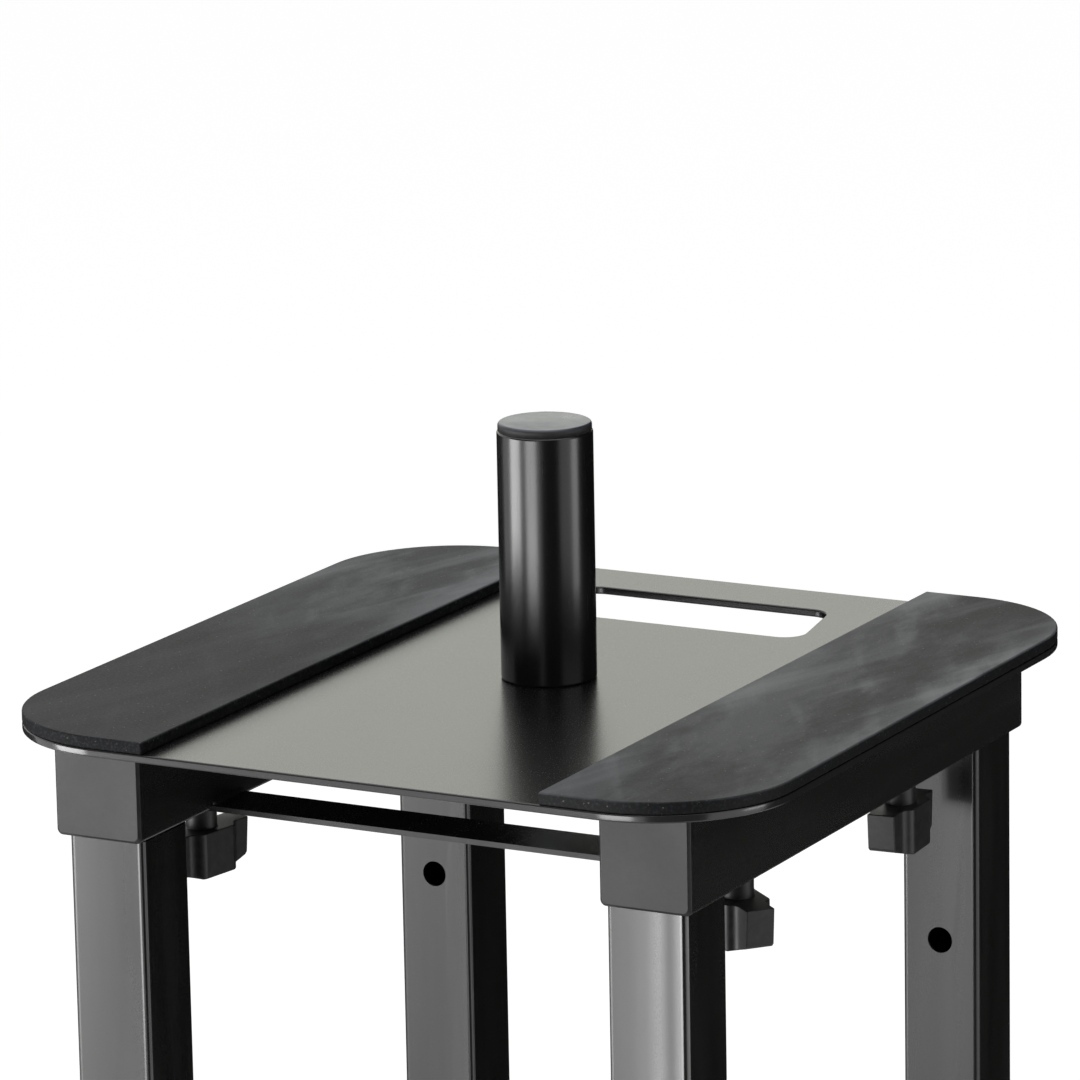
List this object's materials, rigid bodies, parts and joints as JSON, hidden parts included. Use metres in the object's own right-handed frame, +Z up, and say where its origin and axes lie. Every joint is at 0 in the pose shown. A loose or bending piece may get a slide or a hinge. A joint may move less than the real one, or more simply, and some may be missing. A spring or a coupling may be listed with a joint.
{
  "type": "totem stand",
  "caption": "Floor stand with a padded square top plate, a short mounting pole, a hand slot and legs that slide in a lower frame and lock with pull pins.",
  "frame": {"origin": "on the floor, under the middle of the base plate and of the pole", "axes": "+Z up along the pole, +Y towards the edge with the hand slot, +X to the right seen from the front"},
  "size_m": [0.4, 0.4, 0.996],
  "materials": {
    "plate_paint": "satin dark grey powder coat",
    "frame_paint": "satin black powder coat",
    "pole_paint": "semi-gloss black paint",
    "pad_rubber": "matte charcoal",
    "foot_rubber": "matte black",
    "cap_plastic": "matte dark grey",
    "plug_plastic": "matte dark grey, finely mottled",
    "knob_plastic": "matte black",
    "zinc_steel": "zinc plated",
    "pin_steel": "turned and polished",
    "spring_steel": "drawn wire"
  },
  "bodies": {
    "lower_frame": {"base_plate": "plate_paint", "base_bolts": "zinc_steel", "base_nuts": "zinc_steel", "foot_front_left": "foot_rubber", "foot_front_right": "foot_rubber", "foot_rear_left": "foot_rubber", "foot_rear_right": "foot_rubber", "foot_screws": "zinc_steel", "lower_beam_left": "frame_paint", "lower_beam_right": "frame_paint", "lower_strap_front": "frame_paint", "lower_strap_rear": "frame_paint", "lower_plugs": "plug_plastic", "lower_leg_front_left": "frame_paint", "lower_leg_front_right": "frame_paint", "lower_leg_rear_left": "frame_paint", "lower_leg_rear_right": "frame_paint", "leg_collars": "plug_plastic", "lock_housings": "frame_paint", "lock_springs": "spring_steel"},
    "upper_frame": {"top_plate": "plate_paint", "plate_nuts": "zinc_steel", "pad_left": "pad_rubber", "pad_right": "pad_rubber", "pole_tube": "pole_paint", "pole_cap": "cap_plastic", "pole_plug": "zinc_steel", "pole_bolt": "zinc_steel", "pole_washer": "zinc_steel", "upper_beam_left": "frame_paint", "upper_beam_right": "frame_paint", "upper_strap_front": "frame_paint", "upper_strap_rear": "frame_paint", "upper_plug_front_left": "plug_plastic", "upper_plug_front_right": "plug_plastic", "upper_plug_rear_left": "plug_plastic", "upper_plug_rear_right": "plug_plastic", "upper_leg_front_left": "frame_paint", "upper_leg_front_right": "frame_paint", "upper_leg_rear_left": "frame_paint", "upper_leg_rear_right": "frame_paint", "leg_glides": "plug_plastic"},
    "wing_knob_front_left": {"top_knob_front_left": "knob_plastic", "top_screw_front_left": "zinc_steel"},
    "lock_pin_front_left": {"lock_pin_front_left": "pin_steel", "lock_knob_front_left": "knob_plastic"},
    "wing_knob_front_right": {"top_knob_front_right": "knob_plastic", "top_screw_front_right": "zinc_steel"},
    "lock_pin_front_right": {"lock_pin_front_right": "pin_steel", "lock_knob_front_right": "knob_plastic"},
    "wing_knob_rear_left": {"top_knob_rear_left": "knob_plastic", "top_screw_rear_left": "zinc_steel"},
    "lock_pin_rear_left": {"lock_pin_rear_left": "pin_steel", "lock_knob_rear_left": "knob_plastic"},
    "wing_knob_rear_right": {"top_knob_rear_right": "knob_plastic", "top_screw_rear_right": "zinc_steel"},
    "lock_pin_rear_right": {"lock_pin_rear_right": "pin_steel", "lock_knob_rear_right": "knob_plastic"}
  },
  "joints": [
    {"name": "height", "type": "slide", "parent": "lower_frame", "child": "upper_frame", "axis": [0, 0, 1], "range_m": [-0.2, 0.2]},
    {"name": "wing_front_left", "type": "hinge", "parent": "upper_frame", "child": "wing_knob_front_left", "pos_m": [-0.109, -0.067, 0.862], "axis": [0, 0, 1], "continuous": true},
    {"name": "wing_front_right", "type": "hinge", "parent": "upper_frame", "child": "wing_knob_front_right", "pos_m": [0.109, -0.067, 0.862], "axis": [0, 0, 1], "continuous": true},
    {"name": "wing_rear_left", "type": "hinge", "parent": "upper_frame", "child": "wing_knob_rear_left", "pos_m": [-0.109, 0.067, 0.862], "axis": [0, 0, 1], "continuous": true},
    {"name": "wing_rear_right", "type": "hinge", "parent": "upper_frame", "child": "wing_knob_rear_right", "pos_m": [0.109, 0.067, 0.862], "axis": [0, 0, 1], "continuous": true},
    {"name": "lock_front_left", "type": "slide", "parent": "lower_frame", "child": "lock_pin_front_left", "axis": [0, -1, 0], "range_m": [0, 0.0085]},
    {"name": "lock_front_right", "type": "slide", "parent": "lower_frame", "child": "lock_pin_front_right", "axis": [0, -1, 0], "range_m": [0, 0.0085]},
    {"name": "lock_rear_left", "type": "slide", "parent": "lower_frame", "child": "lock_pin_rear_left", "axis": [0, 1, 0], "range_m": [0, 0.0085]},
    {"name": "lock_rear_right", "type": "slide", "parent": "lower_frame", "child": "lock_pin_rear_right", "axis": [0, 1, 0], "range_m": [0, 0.0085]}
  ]
}
